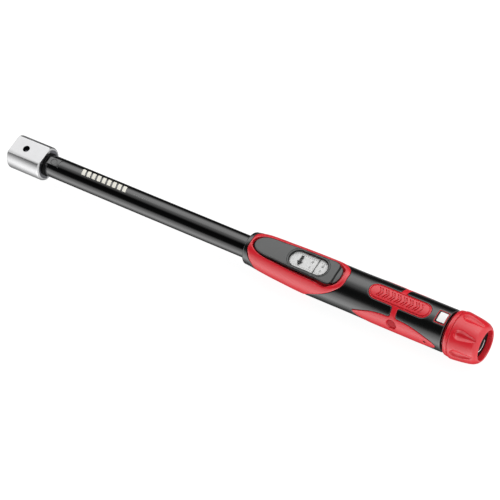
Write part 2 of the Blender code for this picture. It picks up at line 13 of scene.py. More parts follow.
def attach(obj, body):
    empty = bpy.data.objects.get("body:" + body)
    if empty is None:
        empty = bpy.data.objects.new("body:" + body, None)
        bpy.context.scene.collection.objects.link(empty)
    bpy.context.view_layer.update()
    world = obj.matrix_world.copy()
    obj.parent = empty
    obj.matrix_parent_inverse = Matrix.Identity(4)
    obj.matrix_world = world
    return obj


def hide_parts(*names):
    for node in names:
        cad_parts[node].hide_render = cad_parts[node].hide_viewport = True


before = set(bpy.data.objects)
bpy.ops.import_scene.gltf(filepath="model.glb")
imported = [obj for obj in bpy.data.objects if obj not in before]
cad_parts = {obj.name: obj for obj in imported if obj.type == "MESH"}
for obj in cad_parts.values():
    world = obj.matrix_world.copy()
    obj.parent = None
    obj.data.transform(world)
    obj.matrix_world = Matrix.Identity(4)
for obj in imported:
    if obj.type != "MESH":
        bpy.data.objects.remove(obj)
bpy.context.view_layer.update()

MM = 0.001
FLAT_R = 18.4                       # radius on which the handle is laid out flat
HALF_TURN = math.pi * FLAT_R
CORE_R = [(226, 14.3), (229.7, 14.6), (235, 15.2), (241, 16.0), (247, 16.5), (253, 16.9), (262, 17.3),
          (274, 17.9), (286, 18.3), (300, 18.5), (330, 18.45)]
CORE_Z = [(226, 1.0), (229.7, 1.5), (235, 2.0), (241, 2.1), (247, 1.8), (253, 1.4), (262, 0.9), (274, 0.4),
          (286, 0.1), (300, 0.0), (330, 0.0)]
SLEEVE_R = [(284, 18.1), (313, 18.1), (334, 18.05), (352, 18.3), (372, 18.45), (400, 18.45), (421, 18.45)]
RED_EDGE = [(0, 325.8), (15, 325.6), (30, 323.6), (41, 320.2), (50, 316.9), (59, 312.9), (75, 304.5),
            (89, 296.0), (100, 292.3), (114, 289.0), (130, 286.8), (150, 285.3), (180, 285.0)]
COLLAR_EDGE = [(0, 231.4), (35, 231.5), (48, 232.9), (64, 234.7), (80, 237.3), (102, 239.5), (130, 241.0),
               (180, 242.0)]
COLLAR_X0, SLEEVE_X1 = 226.8, 420.0
CORE_BORE, UNDER_R, SLEEVE_IN = 10.35, 15.0, 15.3
ISLAND_R = 18.55
BADGE_X, BADGE_HALF, BADGE_ARC = 375.6, 28.4, 7.4
BRIDGE_X, BRIDGE_HALF = 375.0, 2.4
LEAF = [(338.0, 78.0, 84.0), (346.0, 68.0, 100.0), (354.0, 59.0, 115.0), (362.0, 54.0, 124.0),
        (371.0, 52.5, 128.0), (384.0, 52.0, 128.0), (391.5, 55.0, 124.5), (399.0, 61.0, 116.0),
        (407.0, 70.0, 107.0), (413.0, 79.0, 98.0), (415.0, 86.0, 92.0)]
FAR_SHIFT = 6.0                     # the far leaf starts this many degrees lower
DIMPLE_X, DIMPLE_S, DIMPLE_R = 374.8, math.radians(73.0) * FLAT_R, 4.9
SCREW_X, SCREW_S = 405.4, math.radians(-87.0) * FLAT_R
BEZEL_HALF = [(235.0, 0.0), (235.5, 2.4), (237.0, 4.6), (239.5, 6.5), (243.0, 7.9), (248.0, 8.7),
              (260.0, 9.2), (276.0, 10.0), (300.0, 10.6), (310.5, 10.8), (312.8, 10.1), (314.1, 8.3),
              (314.5, 5.0), (314.5, 0.0)]
TAIL_HALF = [(312.0, 9.3), (315.0, 8.4), (317.5, 6.6), (319.0, 4.0), (319.6, 0.0)]
BEZEL_TOP = [(235, 16.3), (242, 17.0), (262, 17.6), (302, 17.7), (314.5, 16.9), (320, 16.5)]
WINDOW_X0, WINDOW_X1, WINDOW_HALF = 270.3, 305.9, 7.7
KNOB = [(422.3, 18.3), (422.45, 18.9), (422.9, 19.3), (424.3, 19.6), (425.6, 19.75), (426.0, 19.6),
        (426.2, 19.0), (426.6, 19.0), (426.8, 19.8), (427.2, 20.2), (428.2, 20.38), (430.5, 20.3),
        (433.5, 20.0), (437.0, 19.6), (441.0, 19.0), (445.0, 18.2), (448.3, 17.0), (450.5, 15.2),
        (451.35, 13.9), (451.0, 13.1), (450.4, 12.95)]
FLUTES = 7
TUBE_R = 10.0


def smooth(table, x):
    """Cubic curve through the rows of a table."""
    rows = np.array(table, float)
    xs, ys = rows[:, 0], rows[:, 1]
    slope = np.gradient(ys, xs)
    x = np.clip(x, xs[0], xs[-1])
    i = np.clip(np.searchsorted(xs, x) - 1, 0, len(xs) - 2)
    h = xs[i + 1] - xs[i]
    u = (x - xs[i]) / h
    a = (2 * u ** 3 - 3 * u ** 2 + 1) * ys[i] + (3 * u ** 2 - 2 * u ** 3) * ys[i + 1]
    return a + h * ((u ** 3 - 2 * u ** 2 + u) * slope[i] + (u ** 3 - u ** 2) * slope[i + 1])


def ramp(value, low, high):
    t = np.clip((value - low) / (high - low), 0.0, 1.0)
    return t * t * (3 - 2 * t)


# ---- finishes ----
def link(tree, a, b):
    tree.links.new(a, b)


def finish(name, color, rough, metal=0.0, grain=500.0, tone=0.12, bump=0.02, spread=0.05, stretch=(1, 1, 1),
           **direct):
    """A finish with a fine grain, slow changes of tone and a slightly uneven shine."""
    mat = bpy.data.materials.new(name)
    mat.use_nodes = True
    tree = mat.node_tree
    shader = tree.nodes["Principled BSDF"]
    shader.inputs["Metallic"].default_value = metal
    for key, value in direct.items():
        shader.inputs[key.replace("_", " ")].default_value = value
    coord = tree.nodes.new("ShaderNodeTexCoord")
    mapping = tree.nodes.new("ShaderNodeMapping")
    mapping.inputs["Scale"].default_value = stretch
    link(tree, coord.outputs["Object"], mapping.inputs["Vector"])
    fine = tree.nodes.new("ShaderNodeTexNoise")
    fine.inputs["Scale"].default_value = grain
    fine.inputs["Detail"].default_value = 5.0
    slow = tree.nodes.new("ShaderNodeTexNoise")
    slow.inputs["Scale"].default_value = grain * 0.06
    slow.inputs["Detail"].default_value = 3.0
    link(tree, mapping.outputs["Vector"], fine.inputs["Vector"])
    link(tree, coord.outputs["Object"], slow.inputs["Vector"])
    mix = tree.nodes.new("ShaderNodeMix")
    mix.data_type = "RGBA"
    mix.inputs["A"].default_value = (*[c * (1 - tone) for c in color], 1.0)
    mix.inputs["B"].default_value = (*[min(c * (1 + tone), 1.0) for c in color], 1.0)
    link(tree, slow.outputs["Fac"], mix.inputs["Factor"])
    link(tree, mix.outputs["Result"], shader.inputs["Base Color"])
    shine = tree.nodes.new("ShaderNodeMapRange")
    shine.inputs["To Min"].default_value = rough - spread
    shine.inputs["To Max"].default_value = rough + spread
    link(tree, fine.outputs["Fac"], shine.inputs["Value"])
    link(tree, shine.outputs["Result"], shader.inputs["Roughness"])
    relief = tree.nodes.new("ShaderNodeBump")
    relief.inputs["Strength"].default_value = 0.5
    relief.inputs["Distance"].default_value = bump * MM
    link(tree, fine.outputs["Fac"], relief.inputs["Height"])
    link(tree, relief.outputs["Normal"], shader.inputs["Normal"])
    return mat


CHROME = finish("satin_chrome", (0.52, 0.52, 0.525), 0.38, 1.0, 900.0, 0.05, 0.015, 0.05, (0.25, 1, 1))
PAINT = finish("black_paint", (0.001, 0.001, 0.0012), 0.14, 0.0, 700.0, 0.2, 0.004, 0.02, IOR=1.85)
RUBBER = finish("black_rubber", (0.0015, 0.0017, 0.0017), 0.21, 0.0, 1800.0, 0.15, 0.012, 0.03, IOR=1.84)
RED = finish("red_plastic", (0.68, 0.014, 0.026), 0.29, 0.0, 900.0, 0.05, 0.005, 0.03, IOR=1.62)
# darker red: painted shade for the floors of the thumb dimples
DIMPLE_SHADE = finish("painted_shade_red", (0.42, 0.01, 0.018), 0.6, 0.0, 900.0, 0.1, 0.01, 0.04, IOR=1.3)
GREY = finish("grey_plastic", (0.1, 0.102, 0.101), 0.5, 0.0, 2000.0, 0.08, 0.02, 0.05, IOR=1.5)
# black for seals, gasket and joints, and for the bezel's skirt, where it is painted shade
DARK_AND_SHADE = finish("dark_seal_and_painted_shade", (0.003, 0.003, 0.003), 0.5, 0.0, 1500.0, 0.2, 0.01, 0.05, IOR=1.35)
PLUG = finish("matt_black", (0.003, 0.003, 0.003), 0.6, 0.0, 1200.0, 0.2, 0.01, 0.05, IOR=1.2)
WHITE = finish("white_print", (0.9, 0.9, 0.895), 0.4, 0.0, 900.0, 0.02, 0.004, 0.04)
CREAM = finish("cream_print", (0.78, 0.76, 0.68), 0.45, 0.0, 1500.0, 0.08, 0.004, 0.04)
FAINT = finish("faint_print", (0.16, 0.16, 0.16), 0.45, 0.0, 1500.0, 0.15, 0.004, 0.04)
INK = finish("black_ink", (0.002, 0.002, 0.002), 0.5, 0.0, 1500.0, 0.2, 0.004, 0.05)
LENS = finish("clear_lens", (0.02, 0.021, 0.021), 0.07, 0.0, 300.0, 0.1, 0.002, 0.02, Alpha=0.06)
STEEL = finish("ground_steel", (0.5, 0.5, 0.51), 0.34, 1.0, 800.0, 0.08, 0.01, 0.08, (1, 6, 6))
# dark steel for the inner parts, and painted shade on the walls of the head's socket and latch hole
BLUED_AND_SHADE = finish("blued_steel_and_painted_shade", (0.11, 0.11, 0.12), 0.38, 1.0, 700.0, 0.15, 0.01, 0.08)
BRASS = finish("bearing_bronze", (0.55, 0.38, 0.16), 0.36, 1.0, 600.0, 0.1, 0.01, 0.06)


# ---- meshes ----
def place(obj):
    bpy.context.scene.collection.objects.link(obj)
    return obj


def solid(name, verts, faces, look, body, sharp=32.0):
    """A closed mesh from points in millimetres, riding on a body."""
    mesh = bpy.data.meshes.new(name)
    mesh.from_pydata([Vector(v) * MM for v in verts], [], faces)
    bm = bmesh.new()
    bm.from_mesh(mesh)
    bmesh.ops.remove_doubles(bm, verts=bm.verts, dist=1e-6)
    bmesh.ops.recalc_face_normals(bm, faces=bm.faces)
    bm.to_mesh(mesh)
    bm.free()
    mesh.materials.append(look)
    for poly in mesh.polygons:
        poly.use_smooth = True
    mesh.set_sharp_from_angle(angle=math.radians(sharp))
    obj = place(bpy.data.objects.new(name, mesh))
    if body:
        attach(obj, body)
    return obj


def merged(name, parts, look, body, sharp=32.0):
    """Several closed (points, faces) bodies as one piece."""
    verts, faces = [], []
    for points, polys in parts:
        start = len(verts)
        verts += [tuple(p) for p in points]
        faces += [tuple(start + i for i in f) for f in polys]
    return solid(name, verts, faces, look, body, sharp)


def polar(x, radius, angle):
    return (x, radius * math.sin(angle), radius * math.cos(angle))


def turned(profile, seg=96, closed=True, shape=None):
    """Points and faces of an (x, r) loop turned about X; shape(x, r, angle) may change the radius."""
    verts, faces = [], []
    for x, r in profile:
        for j in range(seg):
            a = 2 * math.pi * j / seg
            verts.append(polar(x, shape(x, r, a) if shape else r, a))
    n = len(profile)
    for i in range(n if closed else n - 1):
        for j in range(seg):
            k, m = (j + 1) % seg, (i + 1) % n
            faces.append((i * seg + j, i * seg + k, m * seg + k, m * seg + j))
    if not closed:
        faces += [tuple(range(seg)), tuple(range((n - 1) * seg, n * seg))]
    return verts, faces


def rounded(x0, x1, r, edge, steps=4):
    """Half profile from the axis of a rod with rounded rims."""
    arc = [math.pi / 2 * i / steps for i in range(steps + 1)]
    front = [(x0 + edge * (1 - math.sin(a)), r - edge * (1 - math.cos(a))) for a in reversed(arc)]
    return front + [(x0 + x1 - x, q) for x, q in reversed(front)]


def slot_outline(x0, x1, half, seg=20):
    """A slot along X with round ends."""
    points = []
    for center, start in ((x1 - half, -90), (x0 + half, 90)):
        for j in range(seg + 1):
            a = math.radians(start + 180.0 * j / seg)
            points.append((center + half * math.cos(a), half * math.sin(a)))
    return points


def circle(cx, cs, r, seg=24):
    angles = [2 * math.pi * j / seg for j in range(seg)]
    return [(cx + r * math.cos(a), cs + r * math.sin(a)) for a in angles]


def dense(loop, step):
    """Split the edges of a closed outline."""
    points = []
    for a, b in zip(loop, loop[1:] + loop[:1]):
        n = max(1, math.ceil(math.dist(a, b) / step))
        points += [(a[0] + (b[0] - a[0]) * i / n, a[1] + (b[1] - a[1]) * i / n) for i in range(n)]
    return points


def area(loop):
    p = np.array(loop)
    q = np.roll(p, -1, 0)
    return float((p[:, 0] * q[:, 1] - q[:, 0] * p[:, 1]).sum() / 2)


def normals(loop):
    """The points of a closed outline and the directions square to it."""
    p = np.array(loop)
    t = np.roll(p, -1, 0) - np.roll(p, 1, 0)
    t /= np.maximum(np.linalg.norm(t, axis=1), 1e-9)[:, None]
    return p, np.stack([t[:, 1], -t[:, 0]], 1)


def shifted(loop, amount):
    """Move a closed outline outwards."""
    p, normal = normals(loop)
    side = math.copysign(1.0, area(loop)) * amount
    return [tuple(v) for v in p + side * normal]


def fillet(points, radius, steps=4):
    """Round the corners of a closed outline."""
    out = []
    n = len(points)
    for i in range(n):
        p, a, b = (Vector(points[k % n]) for k in (i, i - 1, i + 1))
        u, v = (a - p), (b - p)
        cut = min(radius, u.length * 0.49, v.length * 0.49)
        start, end = p + u.normalized() * cut, p + v.normalized() * cut
        for j in range(steps + 1):
            t = j / steps
            out.append(tuple((1 - t) ** 2 * start + 2 * t * (1 - t) * p + t * t * end))
    return out


class Region:
    """An area of a flat (x, s) layout: inside the first outline and outside the others.

    The edges at s = -seam and s = seam meet under the handle, so they are no walls.
    """

    def __init__(self, loops, seam=None):
        self.loops = loops
        segments = []
        for loop in loops:
            segments += list(zip(loop, loop[1:] + loop[:1]))
        self.all = np.array(segments, float)
        self.walls = self.all
        if seam:
            on = (np.abs(np.abs(self.all[:, :, 1]) - seam) < 1e-6).all(1)
            self.walls = self.all[~on]
        self.seam = seam

    def inside(self, points):
        p = np.asarray(points, float)
        hits = np.zeros(len(p), int)
        for (ax, ay), (bx, by) in self.all:
            if ay != by:
                cross = ((ay > p[:, 1]) != (by > p[:, 1])) & (
                    p[:, 0] < ax + (p[:, 1] - ay) * (bx - ax) / (by - ay))
                hits += cross
        return hits % 2 == 1

    def distance(self, points):
        p = np.asarray(points, float)
        best = np.full(len(p), 1e9)
        for a, b in self.walls:
            d = b - a
            t = np.clip(((p - a) @ d) / max(d @ d, 1e-12), 0, 1)
            best = np.minimum(best, np.linalg.norm(p - a - t[:, None] * d, axis=1))
        return best

    def off_seam(self, points):
        if not self.seam:
            return np.ones(len(points), bool)
        return np.abs(points[:, 1]) < self.seam - 0.4


def ring_points(region, rings):
    """Points inside the region at the given distances from its outlines."""
    found = []
    for loop in region.loops:
        p, normal = normals(loop)
        for d in rings:
            for sign in (1, -1):
                q = p + sign * d * normal
                keep = region.inside(q) & (region.distance(q) > 0.96 * d) & region.off_seam(q)
                found += [tuple(v) for v in q[keep]]
    return found


def grid_points(region, zones, margin):
    """Points inside the region on grids (x0, x1, s0, s1, dx, ds); an earlier grid keeps its ground."""
    found, done = [], []
    for x0, x1, s0, s1, dx, ds in zones:
        xs = np.arange(x0, x1 + dx / 2, dx)
        ss = np.arange(s0, s1 + ds / 2, ds)
        q = np.array([(x, s) for x in xs for s in ss])
        q = q[region.inside(q)]
        q = q[region.distance(q) > margin + 0.45 * min(dx, ds)]
        for a0, a1, b0, b1 in done:
            q = q[(q[:, 0] < a0) | (q[:, 0] > a1) | (q[:, 1] < b0) | (q[:, 1] > b1)]
        done.append((x0 - 0.3, x1 + 0.3, s0 - 0.3, s1 + 0.3))
        found += [tuple(v) for v in q[region.off_seam(q)]]
    return found


def panel(region, upper, lower, zones, rings):
    """Closed body over a region. upper and lower give 3-D points from (x, s, distance to the edge)."""
    points, rim = [], []
    for loop in region.loops:
        start, n = len(points), len(loop)
        points += [tuple(p) for p in loop]
        rim += [(start + i, start + (i + 1) % n) for i in range(n)]
    points += ring_points(region, rings) + grid_points(region, zones, rings[-1] if rings else 0.0)
    verts, _, tris, _, _, _ = delaunay_2d_cdt([Vector(p) for p in points], rim, [], 0, 1e-4)
    flat = np.array([tuple(v) for v in verts])
    tris = np.array([t for t in tris if len(t) == 3])
    tris = tris[region.inside(flat[tris].mean(1))]
    dist = region.distance(flat)
    both = np.concatenate([upper(flat[:, 0], flat[:, 1], dist), lower(flat[:, 0], flat[:, 1], dist)])
    n = len(flat)
    faces = [tuple(t) for t in tris.tolist()] + [tuple(n + i for i in reversed(t)) for t in tris.tolist()]
    sides = [(i, j) for a, b, c in tris.tolist() for i, j in ((a, b), (b, c), (c, a))]
    uses = Counter(frozenset(side) for side in sides)
    for i, j in sides:
        if uses[frozenset((i, j))] > 1:
            continue
        if region.seam and (np.abs(np.abs(flat[[i, j], 1]) - region.seam) < 1e-3).all():
            continue
        faces.append((j, i, n + i, n + j))
    used = sorted(set(tris.ravel().tolist()))
    index = used + [n + i for i in used]
    new = {old: k for k, old in enumerate(index)}
    return [tuple(both[i]) for i in index], [tuple(new[i] for i in f) for f in faces]


def drop(dist, width, height):
    """How far a rounded edge falls below the surface."""
    t = np.clip(1 - dist / width, 0, 1)
    return height * (1 - np.sqrt(np.maximum(1 - t * t, 0)))


def on_core(x, s, lift):
    """Points on the front of the handle, whose centre line rises towards the bezel."""
    a = s / FLAT_R
    r = smooth(CORE_R, x) + lift
    return np.stack([x, r * np.sin(a), smooth(CORE_Z, x) + r * np.cos(a)], 1)


def on_ring(x, s, radius):
    a = s / FLAT_R
    radius = radius + 0 * x
    return np.stack([x, radius * np.sin(a), radius * np.cos(a)], 1)


def ring_at(radius, width=1.0, height=0.0):
    """A round surface, whose edge falls by height over width."""
    return lambda x, s, d: on_ring(x, s, radius - drop(d, width, height))


def flat_at(height):
    return lambda x, s, d: np.stack([x, s, height + 0 * x], 1)


def edge_x(table, s):
    """X of an edge given by rows of (degrees from the top, x), the same on both sides."""
    return smooth(table, np.abs(np.degrees(np.asarray(s) / FLAT_R)))


def band(front, rear, ends):
    """Outline of a sleeve round the handle between two edges; ends are the finer steps near each edge."""
    turn = np.linspace(-HALF_TURN, HALF_TURN, 145)
    low = [(float(front(s)), float(s)) for s in turn]
    high = [(float(rear(s)), float(s)) for s in turn]
    a, b = low[-1][0], high[-1][0]
    middle = np.linspace(a + ends[-1] + 1.5, b - ends[-1] - 1.5, max(2, int((b - a) / 3)))
    along = [a + d for d in ends] + list(middle) + [b - d for d in reversed(ends)]
    side = [(float(x), HALF_TURN) for x in along]
    back = [(x, -HALF_TURN) for x, _ in reversed(side)]
    return low + side + high[::-1] + back


# ---- handle: collar, red shell, grip sleeve, islands ----
GAP = 0.14                          # half the joint between two skins
EDGE = (0.1, 0.35, 0.8, 1.4, 2.0)   # distances from an edge at which it is rounded
TIGHT = (0.06, 0.2, 0.45, 0.8)


def half_curve(rows, count=None, step=0.7):
    """A smooth half outline through (x, y) rows, at even steps of its length."""
    xs, ys = np.array(rows, float).T
    length = np.concatenate([[0], np.cumsum(np.hypot(np.diff(xs), np.diff(ys)))])
    t = np.linspace(0, length[-1], count or int(length[-1] / step))
    return smooth(list(zip(length, xs)), t), np.maximum(smooth(list(zip(length, ys)), t), 0)


def mirrored(half):
    """A closed outline from its half with y >= 0, whose ends are on the centre line."""
    return half + [(x, -y) for x, y in half[-2:0:-1]]


def bezel_on_shell(extra):
    """Outline of the bezel and its tail on the laid-out shell, larger by extra."""
    outline = []
    rows = [row for row in BEZEL_HALF if row[0] < 311] + [(312.5, 9.7)] + TAIL_HALF[1:]
    loop = mirrored(list(zip(*half_curve(rows, 90))))
    for x, y in shifted(loop, extra):
        r = float(smooth(CORE_R, x))
        z = float(smooth(CORE_Z, x))
        outline.append((float(x), math.atan2(y, z + math.sqrt(r * r - y * y)) * FLAT_R))
    return outline


collar = Region([band(lambda s: COLLAR_X0, lambda s: edge_x(COLLAR_EDGE, s) - GAP, TIGHT)], HALF_TURN)
collar_grid = [(226.0, 244.0, -57.0, 57.0, 1.1, 1.2)]


def collar_top(x, s, d):
    front = drop(x - COLLAR_X0, 1.7, 1.6) + 0.35 * np.exp(-((x - 228.9) / 0.35) ** 2)
    return on_core(x, s, -front - drop(d, 0.7, 0.3))


obj = merged("collar_skin", [panel(collar, collar_top, ring_at(CORE_BORE), collar_grid, TIGHT)], RUBBER,
             "housing")
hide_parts("front_collar")

seat = dense(bezel_on_shell(2.0), 0.9)
shell_band = band(lambda s: edge_x(COLLAR_EDGE, s) + GAP, lambda s: edge_x(RED_EDGE, s) - GAP, EDGE)
shell = Region([shell_band, seat], HALF_TURN)
seat_region = Region([seat])


def shell_top(x, s, d):
    near_seat = seat_region.distance(np.stack([x, s], 1))
    outer = np.minimum(x - edge_x(COLLAR_EDGE, s), edge_x(RED_EDGE, s) - x)
    bead = 0.35 * ramp(x, 311, 318) * np.exp(-((near_seat - 2.4) / 1.5) ** 2)
    return on_core(x, s, bead - drop(outer, 2.2, 0.65) - drop(near_seat, 1.1, 0.45))


def shell_bore(x, s, d):
    """The bore, with room at the front for the strip that carries the scale."""
    strip_path = (np.abs(s) < 5.4) & (x > 231.8) & (x < 240.0)
    return on_ring(x, s, np.where(strip_path, 12.8, CORE_BORE + 0.2))


shell_part = panel(shell, shell_top, shell_bore, [(228.0, 330.0, -57.0, 57.0, 1.9, 1.2)], EDGE)


def island_loop(grow=0.0):
    """Badge, two bridges and two leaves as one outline."""
    x0, x1, b = BRIDGE_X - BRIDGE_HALF, BRIDGE_X + BRIDGE_HALF, BADGE_ARC
    end = BADGE_HALF - BADGE_ARC
    front_arc, rear_arc = np.radians(np.arange(90, 181, 7.5)), np.radians(np.arange(0, 91, 7.5))
    xs = np.concatenate([[338.0, 338.6, 340.0], np.arange(342.0, 411.5, 1.4), [412.0, 413.5, 414.6, 415.0]])
    lower = np.radians(smooth([(x, l) for x, _, l in LEAF], xs)) * FLAT_R
    halves = []
    for shift in (FAR_SHIFT, 0.0):
        rows = [(x, u + shift * min(1.0, (l - u) / 20.0)) for x, u, l in LEAF]
        upper = np.radians(smooth(rows, xs)) * FLAT_R
        top = float(np.interp(x1, xs, upper))
        half = [(BADGE_X + end + b * math.cos(a), b * math.sin(a)) for a in rear_arc]
        half += [(x1 + 1.6, b), (x1 + 0.5, b + 0.45), (x1, b + 1.6)]
        half += [(x1, top - 1.6), (x1 + 0.5, top - 0.5), (x1 + 1.6, top - 0.05)]
        half += [(x, s) for x, s in zip(xs, upper) if x > x1 + 2.2]
        half += [(x, s) for x, s in zip(xs[::-1], lower[::-1])]
        half += [(x, s) for x, s in zip(xs, upper) if x < x0 - 2.2]
        half += [(x0 - 1.6, top - 0.05), (x0 - 0.5, top - 0.5), (x0, top - 1.6)]
        half += [(x0, b + 1.6), (x0 - 0.5, b + 0.45), (x0 - 1.6, b)]
        half += [(BADGE_X - end + b * math.cos(a), b * math.sin(a)) for a in front_arc]
        halves.append(half)
    loop = halves[0] + [(x, -s) for x, s in halves[1][-2:0:-1]]
    loop = dense([(float(x), float(s)) for x, s in loop], 1.2)
    return shifted(loop, grow) if grow else loop


CHEVRON_PITCH, CUT_DEPTH = 5.6, 0.9
DIMPLE_DEPTH = 1.5
islands = Region([island_loop(), dense(circle(SCREW_X, SCREW_S, 1.2, 16), 1.0)])


def island_top(x, s, d):
    """The red islands, with a ring and a row of chevrons cut in the badge and a dimple in each leaf."""
    lift = -drop(d, 1.3, 0.5)
    along = np.maximum(np.abs(x - BADGE_X) - (BADGE_HALF - BADGE_ARC), 0)
    inset = BADGE_ARC - np.hypot(along, s)
    on_badge = np.abs(s) < BADGE_ARC + 0.01
    lift = lift - on_badge * CUT_DEPTH * ramp(0.5 - np.abs(inset - 1.4), 0, 0.3)
    turns = (x - BADGE_X + 0.62 * np.abs(s)) / CHEVRON_PITCH
    chevron = np.abs((turns + 0.5) % 1.0 - 0.5) * CHEVRON_PITCH
    row = ramp(4.3 - np.abs(s), 0, 0.3) * ramp(21.0 - np.abs(x - BADGE_X), 0, 0.3) * on_badge
    lift = lift - CUT_DEPTH * row * ramp(0.55 - np.abs(chevron - 1.1), 0, 0.3)
    dent = np.hypot(x - DIMPLE_X, np.abs(s) - DIMPLE_S)
    lift = lift - DIMPLE_DEPTH * ramp(DIMPLE_R - dent, 0, 0.7)
    return on_ring(x, s, ISLAND_R + lift)


island_grids = [(348.0, 403.2, -7.0, 7.0, 0.25, 0.25)]
for side in (1, -1):
    island_grids.append((370.0, 380.4, side * DIMPLE_S - 5.4, side * DIMPLE_S + 5.4, 0.35, 0.35))
island_grids.append((337.0, 416.0, -42.0, 42.0, 1.8, 1.1))
island_part = panel(islands, island_top, ring_at(UNDER_R), island_grids, TIGHT)


def under_shape(x, r, angle):
    """The tube under the sleeve is cut away on top, where the scale slides."""
    over_scale = x < 318.1 and min(angle, 2 * math.pi - angle) < 0.56
    return min(r, CORE_BORE + 0.1) if over_scale else r


under_top = UNDER_R - 0.05
UNDER = [(300, CORE_BORE), (300, 14.4), (302, under_top), (318, under_top), (318.2, under_top),
         (419.4, under_top), (420, 14.5), (420, CORE_BORE)]
under = turned(UNDER, 72, True, under_shape)
obj = merged("handle_shell", [shell_part, island_part, under], RED, "housing", 40)
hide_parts("handle_core")
# darker red discs in the floors of the two thumb dimples: painted shade in the hollows
disc_grid = [(370.0, 380.0, -30.0, 30.0, 1.0, 1.0)]
discs = []
for side in (1, -1):
    disc = Region([circle(DIMPLE_X, side * DIMPLE_S, DIMPLE_R - 0.75)])
    disc_top, disc_base = ring_at(ISLAND_R - 1.05, 0.5, 0.3), ring_at(ISLAND_R - 1.45)
    discs.append(panel(disc, disc_top, disc_base, disc_grid, (0.2, 0.5)))
obj = merged("thumb_dimple_shade", discs, DIMPLE_SHADE, "housing")

LABEL_X0, LABEL_X1, LABEL_S = 409.4, 419.0, 6.0
label_outline = fillet([(LABEL_X0, -LABEL_S), (LABEL_X1, -LABEL_S), (LABEL_X1, LABEL_S), (LABEL_X0, LABEL_S)],
                       0.8)
sleeve_band = band(lambda s: edge_x(RED_EDGE, s) + GAP, lambda s: SLEEVE_X1, TIGHT)
sleeve = Region([sleeve_band, island_loop(0.32), dense(shifted(label_outline, 0.2), 0.9)], HALF_TURN)


def sleeve_top(x, s, d):
    rear = drop(SLEEVE_X1 - x, 1.4, 0.8)
    return on_ring(x, s, smooth(SLEEVE_R, x) - drop(d, 0.8, 0.32) - rear)


sleeve_grid = [(284.0, 420.0, -57.0, 57.0, 2.4, 1.2)]
obj = merged("grip_rubber", [panel(sleeve, sleeve_top, ring_at(SLEEVE_IN), sleeve_grid, TIGHT)], RUBBER,
             "housing", 40)
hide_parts("grip_sleeve")

# label: white face in a thin red frame
face_outline = dense(fillet([(411.3, -4.5), (418.2, -4.5), (418.2, 4.5), (411.3, 4.5)], 0.5), 0.8)
label_grid = [(409.0, 418.4, -6.0, 6.0, 1.2, 1.0)]
face = panel(Region([face_outline]), ring_at(18.6, 0.3, 0.1), ring_at(18.43), label_grid, (0.1, 0.3))
obj = merged("label_face", [face], WHITE, "housing")
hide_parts("label_plate")
outer_line, inner_line = dense(label_outline, 0.8), shifted(dense(label_outline, 0.8), -0.5)
rim = panel(Region([outer_line, inner_line]), ring_at(18.58, 0.2, 0.1), ring_at(17.9), [], (0.12,))
obj = merged("label_frame", [rim], RED, "housing")
bed = panel(Region([shifted(inner_line, -0.06)]), ring_at(18.4), ring_at(17.8), label_grid, ())
obj = merged("label_bed", [bed], DARK_AND_SHADE, "housing")


# ---- bezel, window and scale ----
def symmetric(rows):
    """A smooth closed outline through (x, y) rows and their mirror image."""
    xs, ys = half_curve(rows)
    ys[0] = ys[-1] = 0.0
    return mirrored(list(zip(xs.tolist(), ys.tolist())))


def window_outline(grow):
    return dense(slot_outline(WINDOW_X0 - grow, WINDOW_X1 + grow, WINDOW_HALF + grow), 0.9)


COVER_Z = 15.75                     # height of the room left for the scale
CROWN = 0.003                       # how fast the bezel falls away from its middle
skirt_edge = symmetric(BEZEL_HALF)
bezel_loop = shifted(skirt_edge, -0.55)
window_loop = window_outline(0.75)
bezel = Region([bezel_loop, window_loop])
bezel_rim = Region([bezel_loop])
window_rim = Region([window_loop])


def bezel_top(x, s, d):
    outer = bezel_rim.distance(np.stack([x, s], 1))
    groove = np.abs(window_rim.distance(np.stack([x, s], 1)) - 1.2)
    z = smooth(BEZEL_TOP, x) - CROWN * s * s - drop(outer, 0.6, 0.5) - drop(d, 0.25, 0.15)
    z = z - 0.6 * ramp(0.32 - groove, 0, 0.16)
    return np.stack([x, s, z], 1)


def under_bezel(x, s, d):
    """The underside clears the sliding scale."""
    return np.stack([x, s, np.minimum(COVER_Z, smooth(BEZEL_TOP, x) - 1.2)], 1)


plate = panel(bezel, bezel_top, under_bezel, [(235.0, 315.0, -10.0, 10.0, 1.6, 1.3)],
              (0.08, 0.25, 0.85, 1.02, 1.38, 1.55))
obj = merged("bezel_plate", [plate], GREY, "housing", 50)
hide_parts("bezel")


# A black skirt under the bezel plate shows as a ledge round it and in the slit before the tail: painted shade
# of the bezel's side wall and of the slit.
def skirt_top(x, s, d):
    return np.stack([x, s, smooth(BEZEL_TOP, x) - 0.85 - CROWN * s * s], 1)


def under_skirt(x, s, d):
    """The underside leaves room for the card at every setting."""
    room = (np.abs(s) < 8.7) & (x > 256.0)
    return np.stack([x, s, np.where(room, COVER_Z, 14.9)], 1)


skirt = Region([skirt_edge, dense(slot_outline(262.0, 312.0, 8.5), 1.0)])
apron_edge = symmetric([(306.0, 0.0), (306.0, 8.0), (309.0, 10.0), (312.5, 9.7)] + TAIL_HALF[1:])
skirt_parts = [panel(skirt, skirt_top, under_skirt, [(235.0, 320.0, -10.0, 10.0, 1.0, 0.9)], ()),
               panel(Region([apron_edge]), flat_at(COVER_Z + 0.15), flat_at(COVER_Z - 0.1), [], ())]
obj = merged("bezel_shade_skirt", skirt_parts, DARK_AND_SHADE, "housing")

tail_half = [(315.6, 0.0), (315.6, 8.0), (315.9, 8.1), (317.2, 6.6), (318.4, 4.4), (319.0, 2.0), (319.1, 0.0)]
tail_edge = mirrored(tail_half)
tail = Region([dense(fillet(tail_edge[1:], 0.5), 0.6)])


